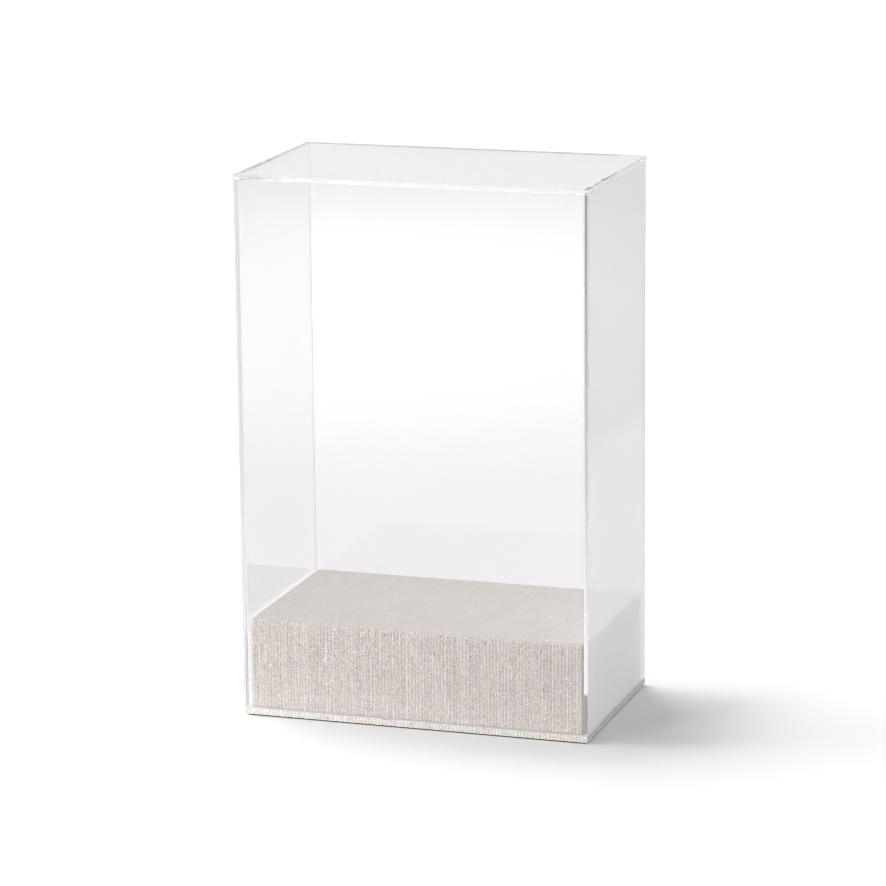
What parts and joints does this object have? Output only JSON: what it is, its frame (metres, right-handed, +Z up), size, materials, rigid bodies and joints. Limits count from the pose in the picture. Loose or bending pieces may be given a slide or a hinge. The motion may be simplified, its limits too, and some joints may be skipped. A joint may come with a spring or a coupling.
{
  "type": "acrylic display case",
  "caption": "Tall clear acrylic display case: a lift-off five-sided cover that drops over a linen-covered plinth and stands on a thin linen-covered base board.",
  "frame": {"origin": "centre of the footprint, on the surface the case stands on (underside of the base lining)", "axes": "+Z up, front of the case towards -Y, +X to the right seen from the front"},
  "size_m": [0.23, 0.137, 0.351],
  "materials": {
    "clear_acrylic": "polished",
    "natural_linen": "matte",
    "lining_felt": "matte",
    "binders_board": "matte"
  },
  "bodies": {
    "base": {"base_board": "binders_board", "base_linen": "natural_linen", "base_filler": "binders_board", "base_lining": "lining_felt", "plinth_top_board": "binders_board", "plinth_front_board": "binders_board", "plinth_back_board": "binders_board", "plinth_left_board": "binders_board", "plinth_right_board": "binders_board", "plinth_left_rib": "binders_board", "plinth_right_rib": "binders_board", "plinth_linen": "natural_linen"},
    "cover": {"cover_top_panel": "clear_acrylic", "cover_front_panel": "clear_acrylic", "cover_back_panel": "clear_acrylic", "cover_left_panel": "clear_acrylic", "cover_right_panel": "clear_acrylic"}
  },
  "joints": [
    {"name": "cover_lift", "type": "slide", "parent": "base", "child": "cover", "axis": [0, 0, 1], "range_m": [0, 0.35]}
  ]
}
